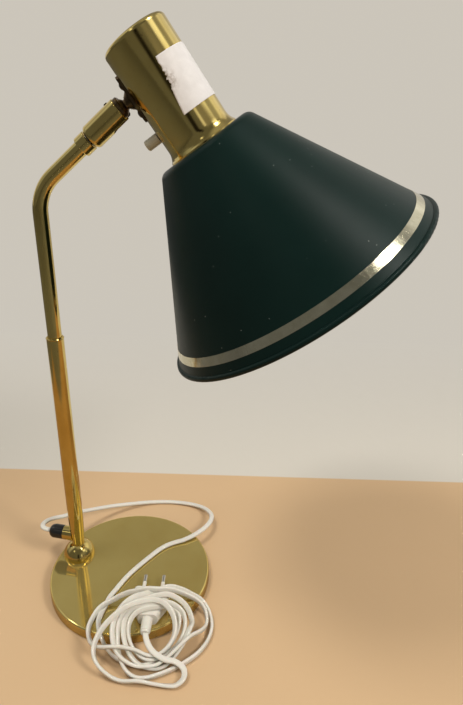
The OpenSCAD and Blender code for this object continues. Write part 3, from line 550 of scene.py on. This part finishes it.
def spun_brass():
    """The foot's brass: soft haze, faint rings from spinning, wiped smudges, small scratches."""
    finish = Finish("foot_brass", Metallic=0.84, Coat_Weight=0.3, Coat_Roughness=0.08)
    reach = finish.vector_math("LENGTH", finish.across((0, 0, 0), UP))
    ring = finish.nodes.new("ShaderNodeCombineXYZ")
    finish.links.new(reach, ring.inputs["X"])
    rings = finish.cloud(2600, 2, 0.6, ring.outputs["Vector"])
    smudge = finish.cloud(22, 6, 0.62)
    wiped = finish.cloud(1, 4, 0.6, finish.mapped((60, 190, 60)))
    scratch = finish.ranged(finish.cloud(1, 3, 0.7, finish.mapped((1100, 50, 50))), 0.70, 0.8)
    finish.feed(finish.blend(finish.ranged(smudge, 0.3, 0.75), BRASS, BRASS_DEEP), "Base Color")
    haze = finish.ranged(smudge, 0.3, 0.7, 0.045, 0.10)
    haze = finish.math("ADD", haze, finish.ranged(wiped, 0.45, 0.8, 0, 0.05))
    finish.feed(finish.math("ADD", haze, finish.math("MULTIPLY", scratch, 0.12)), "Roughness")
    finish.bump(rings, 0.002 * MM, 0.4)
    finish.bump(finish.cloud(35, 2), 0.05 * MM, 0.3)
    return finish.material


def dark_bronze():
    """Blackened brass of the knuckle and its plate, rubbed brighter here and there."""
    finish = Finish("dark_bronze", Metallic=1.0)
    wear = finish.ranged(finish.cloud(160, 5, 0.65), 0.5, 0.78)
    finish.feed(finish.blend(wear, (0.128, 0.085, 0.0476), (0.612, 0.425, 0.153)), "Base Color")
    finish.feed(finish.ranged(finish.cloud(420, 3), 0.3, 0.7, 0.24, 0.42), "Roughness")
    finish.bump(finish.cloud(900, 2), 0.02 * MM, 0.5)
    return finish.material


# Which way the cone's outside faces, out from the axis and up along it, and how far from that way a
# surface faces where the white inside starts
SHADE_FACE_OUT = 0.85
SHADE_FACE_UP = 0.52
INSIDE_BELOW = -0.6


def green_lacquer():
    """Satin bottle-green lacquer outside and white inside, with fine orange peel and dust."""
    finish = Finish("shade_lacquer", Specular_IOR_Level=0.24)
    facing = finish.nodes["Texture Coordinate"].outputs["Normal"]
    radial = finish.across(HEAD_MID, HEAD_UP)
    outward = finish.vector_math("NORMALIZE", radial)
    lean = finish.math("MULTIPLY", finish.dot(facing, outward), SHADE_FACE_OUT)
    rise = finish.math("MULTIPLY", finish.dot(facing, HEAD_UP), SHADE_FACE_UP)
    outside = finish.math("GREATER_THAN", finish.math("ADD", lean, rise), INSIDE_BELOW)
    tone = finish.blend(finish.ranged(finish.cloud(14, 4, 0.6), 0.3, 0.7),
                        (0.0010, 0.0092, 0.0072), (0.0017, 0.0120, 0.0096))
    dusty = finish.blend(finish.math("MULTIPLY", finish.specks(120, 0.3 * MM), 0.6), tone,
                         (0.50, 0.52, 0.50))
    finish.feed(finish.blend(outside, (0.78, 0.77, 0.72), dusty), "Base Color")
    scuff = finish.cloud(1, 5, 0.7, finish.mapped((60, 60, 210), HEAD_UP, HEAD_MID))
    haze = finish.ranged(finish.cloud(11, 4, 0.6), 0.3, 0.7, 0.36, 0.44)
    rough = finish.math("ADD", haze, finish.ranged(scuff, 0.60, 0.8, 0, 0.10))
    finish.feed(rough, "Roughness")
    finish.bump(finish.cloud(1500, 2), 0.010 * MM, 0.5)
    return finish.material


def gold_foil():
    """The stripe's mirror foil, a little wrinkled where it was wrapped round."""
    finish = Finish("gold_foil", Metallic=1.0)
    crease = finish.cloud(1, 3, 0.6, finish.mapped((120, 120, 25), HEAD_UP, HEAD_MID))
    finish.feed(finish.blend(finish.ranged(crease, 0.3, 0.7), (0.83, 0.79, 0.60),
                             (0.70, 0.66, 0.47)), "Base Color")
    finish.feed(finish.ranged(finish.cloud(260, 4), 0.3, 0.7, 0.12, 0.24), "Roughness")
    finish.bump(crease, 0.25 * MM, 0.6)
    return finish.material


def white_vinyl():
    """White vinyl of the lead and plug, faintly yellowed and handled."""
    finish = Finish("lead_vinyl", Specular_IOR_Level=0.45, Subsurface_Weight=0.06,
                    Subsurface_Scale=0.002)
    dirt = finish.ranged(finish.cloud(90, 5, 0.65), 0.5, 0.85, 0, 0.35)
    tone = finish.blend(finish.ranged(finish.cloud(18, 3), 0.3, 0.7), (0.70, 0.67, 0.60),
                        (0.66, 0.625, 0.545))
    finish.feed(finish.blend(dirt, tone, (0.46, 0.42, 0.34)), "Base Color")
    finish.feed(finish.ranged(finish.cloud(300, 3), 0.3, 0.7, 0.3, 0.42), "Roughness")
    finish.bump(finish.cloud(700, 3), 0.03 * MM, 0.5)
    return finish.material


def moulding(name, light, dark, rough):
    """A moulded plastic between two close tones."""
    finish = Finish(name)
    finish.feed(finish.blend(finish.ranged(finish.cloud(70, 4), 0.3, 0.7), light, dark),
                "Base Color")
    finish.feed(finish.ranged(finish.cloud(400, 3), 0.3, 0.7, rough * 0.8, rough * 1.25),
                "Roughness")
    finish.bump(finish.cloud(1100, 2), 0.02 * MM, 0.4)
    return finish.material


def plated_metal(name, light, dark, rough):
    """A plated or cast metal part, with a cloudy surface."""
    finish = Finish(name, Metallic=1.0)
    finish.feed(finish.blend(finish.ranged(finish.cloud(130, 4), 0.3, 0.7), light, dark),
                "Base Color")
    finish.feed(finish.ranged(finish.cloud(500, 4), 0.3, 0.7, rough * 0.75, rough * 1.3),
                "Roughness")
    finish.bump(finish.cloud(800, 3), 0.01 * MM, 0.5)
    return finish.material


def felt():
    """The pad under the foot: short dark fibres."""
    finish = Finish("felt", Sheen_Weight=0.4, Sheen_Roughness=0.5)
    fibre = finish.cloud(2400, 6, 0.75)
    finish.feed(finish.blend(fibre, (0.02, 0.018, 0.016), (0.07, 0.065, 0.06)), "Base Color")
    finish.feed(finish.ranged(fibre, 0.3, 0.7, 0.85, 1.0), "Roughness")
    finish.bump(fibre, 0.2 * MM, 0.8)
    return finish.material


def label_paper():
    """Coated label paper, faintly creased and scuffed brown where its side was torn off."""
    finish = Finish("label_paper", Specular_IOR_Level=0.3)
    fibre = finish.cloud(1500, 5, 0.7)
    crease = finish.cloud(150, 4, 0.6)
    clean = finish.blend(finish.ranged(crease, 0.3, 0.7), (0.74, 0.71, 0.69),
                         (0.66, 0.63, 0.61))
    scuffed_at = on_housing(SCUFF_ANGLE, SCUFF_HEIGHT, 0)
    away = finish.vector_math("LENGTH", finish.vector_math("SUBTRACT", finish.place, scuffed_at))
    near = finish.ranged(away, SCUFF_INNER, SCUFF_OUTER, 1, 0)
    scuff = finish.ranged(finish.cloud(420, 5, 0.75), 0.42, 0.62)
    finish.feed(finish.blend(finish.math("MULTIPLY", near, scuff), clean, (0.26, 0.20, 0.15)),
                "Base Color")
    finish.feed(finish.ranged(fibre, 0.3, 0.7, 0.5, 0.7), "Roughness")
    finish.bump(crease, 0.15 * MM, 0.5)
    finish.bump(fibre, 0.03 * MM, 0.5)
    return finish.material


def opal_glass():
    """The bulb's milky glass."""
    finish = Finish("opal_glass", Specular_IOR_Level=0.5, Subsurface_Weight=0.3,
                    Subsurface_Scale=0.004)
    finish.feed(finish.blend(finish.ranged(finish.cloud(30, 3), 0.3, 0.7), (0.86, 0.85, 0.80),
                             (0.82, 0.80, 0.74)), "Base Color")
    finish.feed(finish.ranged(finish.cloud(80, 3), 0.3, 0.7, 0.12, 0.2), "Roughness")
    return finish.material


def dress(material, *names):
    """Gives CAD nodes a finish."""
    for name in names:
        node = NODES[name]
        if not node.material_slots:
            node.data.materials.append(material)
        for material_slot in node.material_slots:
            material_slot.material = material


UPRIGHT_BRASS = drawn_brass("stem_brass", UP)
ARM_BRASS = drawn_brass("arm_brass", ARM_WAY)
HEAD_BRASS = drawn_brass("housing_brass", HEAD_UP)
WHITE_VINYL = white_vinyl()
ZINC = plated_metal("zinc_plate", (0.56, 0.56, 0.54), (0.42, 0.42, 0.40), 0.3)
NICKEL = plated_metal("nickel_plate", (0.72, 0.69, 0.64), (0.60, 0.57, 0.52), 0.14)
IRON = plated_metal("cast_iron", (0.10, 0.10, 0.10), (0.06, 0.06, 0.06), 0.6)
BLACK = moulding("black_moulding", (0.010, 0.010, 0.010), (0.016, 0.015, 0.014), 0.10)
IVORY = moulding("ivory_knob", (0.50, 0.475, 0.365), (0.42, 0.40, 0.30), 0.32)
NYLON = moulding("nylon", (0.72, 0.70, 0.62), (0.64, 0.62, 0.54), 0.4)
FLEX = moulding("flex_vinyl", (0.70, 0.68, 0.60), (0.62, 0.60, 0.52), 0.4)

dress(spun_brass(), "foot_cover")
dress(UPRIGHT_BRASS, "dome_fitting", "stem_tube", "stem_lip", "arm_tube", "outlet_tube",
      "outlet_collar")
dress(ARM_BRASS, "arm_collar", "socket_sleeve")
dress(HEAD_BRASS, "housing")
dress(dark_bronze(), "mouth_ring", "swivel_ball", "ribbed_nut", "bracket_plate", "bracket_screws",
      "sleeve_screw")
dress(green_lacquer(), "shade")
dress(gold_foil(), "shade_stripe")
dress(WHITE_VINYL, "plug_body", "pin_sleeves")
dress(NICKEL, "plug_pins", "bulb_cap", "holder_shell", "holder_contact")
dress(BLACK, "cord_bush", "holder_cap", "lampholder", "shade_ring", "switch_body")
dress(IVORY, "switch_knob")
dress(NYLON, "stem_liner", "tube_guide", "ball_cup")
dress(FLEX, "foot_flex", "arm_flex", "head_wires")
dress(ZINC, "foot_bolt", "bolt_washer", "stem_plug", "arm_spindle", "spindle_clip",
      "cup_springs", "stud_nut", "holder_bridge", "bridge_nut", "holder_nipple")
dress(IRON, "ballast")
dress(felt(), "foot_pad")
dress(opal_glass(), "bulb_glass")
MAINS_LEAD.data.materials.append(WHITE_VINYL)
LABEL.data.materials.append(label_paper())


# ---------------------------------------------------------------- floor and light

DESK_BACK = 0.182
DESK_FRONT = -0.36
DESK_LEFT = -0.50
# The desk's tone as polished metal mirrors it, painted darker than the desk itself: painted shade
# in its reflection
MIRRORED_DESK = (0.33, 0.19, 0.08)
DESK_TONE = (0.60, 0.41, 0.235)
DESK_TONE_DEEP = (0.58, 0.395, 0.225)
BLACK_TONE = (0.0, 0.0, 0.0)
ROOM_DARK = (0.12, 0.118, 0.11)
WALL_TONE = (0.60, 0.56, 0.49)


def add_floor():
    """A plain pale surface: a warm desk, and past its rear edge the tone of the room."""
    bpy.ops.object.select_all(action="DESELECT")
    bpy.ops.mesh.primitive_circle_add(vertices=96, radius=6, fill_type="NGON",
                                      location=(0, 0, -0.0003))
    floor = bpy.context.object
    floor.name = "floor"
    bpy.ops.object.transform_apply(location=True)
    finish = Finish("floor")
    rearward = finish.dot(finish.place, (0, 1, 0))
    rightward = finish.dot(finish.place, (1, 0, 0))
    back = finish.ranged(rearward, DESK_BACK, DESK_BACK + 0.002)
    warm = finish.blend(finish.ranged(finish.cloud(3, 2), 0.3, 0.7), DESK_TONE, DESK_TONE_DEEP)
    front = finish.ranged(rearward, DESK_FRONT - 0.04, DESK_FRONT)
    left = finish.ranged(rightward, DESK_LEFT - 0.04, DESK_LEFT)
    # To glossy rays the desk is painted in the darker mirrored tone, and dark past its front and
    # left edges: painted shade in what polished metal mirrors
    mirrored = finish.blend(finish.math("MULTIPLY", front, left), ROOM_DARK, MIRRORED_DESK)
    rays = finish.nodes.new("ShaderNodeLightPath").outputs
    desk = finish.blend(rays["Is Glossy Ray"], warm, mirrored)
    far = finish.ranged(rearward, DESK_BACK + 0.02, DESK_BACK + 0.5)
    plain = finish.math("MULTIPLY", far, rays["Is Camera Ray"])
    # Past the rear edge and left of the desk, glossy rays see the dark room tone: painted shade in
    # reflections
    mirrored_shade_left = finish.math("MULTIPLY", finish.math("SUBTRACT", 1, left), rays["Is Glossy Ray"])
    room = finish.blend(plain, finish.blend(mirrored_shade_left, WALL_TONE, ROOM_DARK), BLACK_TONE)
    finish.feed(finish.blend(back, desk, room), "Base Color")
    finish.shader.inputs["Emission Color"].default_value = (*WALL_TONE, 1)
    finish.feed(plain, "Emission Strength")
    finish.feed(finish.ranged(plain, 0, 1, 0.25, 0), "Specular IOR Level")
    finish.feed(finish.ranged(finish.cloud(30, 3), 0.3, 0.7, 0.5, 0.6), "Roughness")
    floor.data.materials.append(finish.material)


# What polished metal mirrors: soft panels round the lamp. Each has its middle and half width as
# degrees round from the viewer's side towards +X, the same above the level, its soft edge, and how
# bright it is
PANELS = [
    (180, 75, 4, 26, 9, (0.44, 0.41, 0.37)),
    (180, 75, 52, 22, 9, (0.135, 0.128, 0.117)),
    (130, 20, 37, 13, 7, (0.50, 0.485, 0.47)),
    (80, 21, 65, 7, 5, (1.25, 1.22, 1.15)),
    (68, 16, 64, 9, 6, (3.6, 3.5, 3.3)),
    (66, 5, 62, 4, 3, (34.0, 33.3, 31.3)),
    (92, 24, 38, 12, 9, (0.26, 0.255, 0.25)),
    (68, 12, 46, 9, 5, (0.96, 0.95, 0.93)),
    (48, 20, 28, 12, 8, (0.13, 0.12, 0.11)),
    (32, 4, 14, 13, 3, (0.56, 0.54, 0.52)),
    (-92, 17, 50, 15, 9, (0.44, 0.45, 0.50)),
    (-84, 12, 24, 12, 8, (0.22, 0.23, 0.25)),
    (-128, 12, 30, 12, 8, (0.16, 0.155, 0.15)),
    (0, 180, 84, 13, 12, (0.26, 0.25, 0.23)),
    (-98, 4, 55, 3, 2, (6.0, 5.8, 5.3)),
    (-40, 5, 47, 4, 2, (1.6, 1.55, 1.4)),
    (80, 3, 26, 5, 2, (0.9, 0.88, 0.8)),
]
# A narrow dark upright in front, which takes the mirrored light away
SHADOW_BAND = (7, 5.5, 4, 26, 3)
SHADOW_TONE = (0.008, 0.006, 0.004)


class Sky(NodeTree):
    """The room's colours by direction."""

    def __init__(self):
        world = bpy.data.worlds.new("room")
        bpy.context.scene.world = world
        super().__init__(world)
        way = self.nodes.new("ShaderNodeTexCoord").outputs["Generated"]
        split = self.nodes.new("ShaderNodeSeparateXYZ")
        self.links.new(way, split.inputs["Vector"])
        self.round = self.degrees("ARCTAN2", split.outputs["X"],
                                  self.math("MULTIPLY", split.outputs["Y"], -1))
        self.height = self.degrees("ARCSINE", split.outputs["Z"])

    def degrees(self, kind, a, b=0.0):
        """An angle in degrees."""
        return self.math("MULTIPLY", self.math(kind, a, b), 180 / math.pi)

    def within(self, angle, middle, half, soft):
        """1 within an angle of middle, fading to 0 over the soft edge."""
        away = self.math("ABSOLUTE", self.math("SUBTRACT", angle, middle))
        around = self.math("MINIMUM", away, self.math("SUBTRACT", 360, away))
        fade = self.nodes.new("ShaderNodeMapRange")
        fade.interpolation_type = "SMOOTHSTEP"
        self.links.new(around, fade.inputs["Value"])
        fade.inputs["From Min"].default_value = half + soft
        fade.inputs["From Max"].default_value = half - soft
        return fade.outputs["Result"]

    def panel(self, middle, half, rise, half_rise, soft):
        """How much of a panel stands in each direction."""
        return self.math("MULTIPLY", self.within(self.round, middle, half, soft),
                         self.within(self.height, rise, half_rise, soft))


def add_room():
    """The room: an even pale light, a plain backdrop, and the soft panels that metal mirrors."""
    sky = Sky()
    mirrored = ROOM_DARK
    for middle, half, rise, half_rise, soft, colour in PANELS:
        panel = sky.panel(middle, half, rise, half_rise, soft)
        mirrored = sky.blend(panel, mirrored, colour, "ADD")
    mirrored = sky.blend(sky.panel(*SHADOW_BAND), mirrored, SHADOW_TONE)
    lift = sky.nodes.new("ShaderNodeMapRange")
    sky.links.new(sky.height, lift.inputs["Value"])
    lift.inputs["From Min"].default_value = -10
    lift.inputs["From Max"].default_value = 70
    even = sky.blend(lift.outputs["Result"], (0.40, 0.385, 0.36), (0.52, 0.51, 0.485))
    rays = sky.nodes.new("ShaderNodeLightPath").outputs
    light = sky.blend(rays["Is Glossy Ray"], even, mirrored)
    sky.links.new(sky.blend(rays["Is Camera Ray"], light, WALL_TONE),
                  sky.nodes["Background"].inputs["Color"])


MIDDLE = (0.08, 0.0, 0.25)


def add_lamp(name, place, size, power, colour):
    """A soft box that lights the lamp's middle and isn't mirrored or seen itself."""
    light = bpy.data.lights.new(name, "AREA")
    light.shape = "RECTANGLE"
    light.size, light.size_y = size
    light.energy = power
    light.color = colour
    lamp = bpy.data.objects.new(name, light)
    bpy.context.scene.collection.objects.link(lamp)
    turn = (Vector(place) - Vector(MIDDLE)).to_track_quat("Z", "Y").to_matrix().to_4x4()
    lamp.matrix_world = Matrix.Translation(place) @ turn
    lamp.visible_camera = False
    lamp.visible_glossy = False


add_floor()
add_room()
add_lamp("window", (1.2, -0.7, 1.3), (0.4, 0.5), 17, (1.0, 0.98, 0.94))
add_lamp("ceiling", (-0.5, -0.1, 1.7), (0.5, 0.5), 13, (1.0, 0.97, 0.92))

bpy.context.scene.view_settings.view_transform = "Standard"
